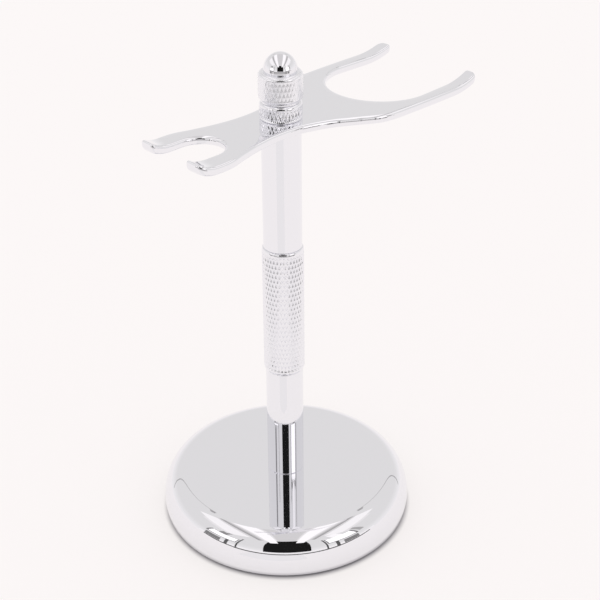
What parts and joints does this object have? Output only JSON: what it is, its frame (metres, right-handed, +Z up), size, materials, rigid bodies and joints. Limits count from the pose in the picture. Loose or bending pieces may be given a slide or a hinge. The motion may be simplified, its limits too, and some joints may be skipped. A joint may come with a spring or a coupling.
{
  "type": "razor stand",
  "caption": "Weighted round base and slim post with a knurled grip, carrying a flat fork plate that holds a shaving brush at one end and a razor at the other, under a ball-topped nut.",
  "frame": {"origin": "on the post's axis at the surface the stand rests on", "axes": "+Z up along the post, +X along the fork plate towards the wide brush fork, +Y across the plate"},
  "size_m": [0.0967, 0.075, 0.1454],
  "materials": {
    "polished_chrome": "mirror-polished chrome plate",
    "knurled_chrome": "chrome plate over a fine diamond knurl",
    "zinc_plated_steel": "satin zinc plate",
    "raw_cast_iron": "as cast",
    "black_rubber": "matte moulded rubber"
  },
  "bodies": {
    "stand": {"base_shell": "polished_chrome", "base_ballast": "raw_cast_iron", "base_pad": "black_rubber", "base_screw": "zinc_plated_steel", "base_flat_washer": "zinc_plated_steel", "base_lock_washer": "zinc_plated_steel", "lower_post": "polished_chrome", "lower_joint_stud": "zinc_plated_steel", "knurled_grip": "knurled_chrome", "upper_joint_stud": "zinc_plated_steel", "upper_post": "polished_chrome", "top_stud": "zinc_plated_steel"},
    "fork_head": {"fork_plate": "polished_chrome", "clamp_collar": "knurled_chrome"},
    "finial": {"finial_ball": "polished_chrome"},
    "nut": {"finial_nut": "knurled_chrome"}
  },
  "joints": [
    {"name": "fork_swivel", "type": "hinge", "parent": "stand", "child": "fork_head", "pos_m": [0, 0, 0.1263], "axis": [0, 0, 1], "continuous": true},
    {"name": "finial_lift", "type": "slide", "parent": "stand", "child": "finial", "axis": [0, 0, 1], "range_m": [0, 0.004]},
    {"name": "nut_turn", "type": "hinge", "parent": "finial", "child": "nut", "pos_m": [0, 0, 0.1364], "axis": [0, 0, 1], "range_deg": [0, 1800]}
  ],
  "couplings": [
    {"joint": "finial_lift", "follows": "nut_turn", "m_per_rad": 0.00012732}
  ]
}
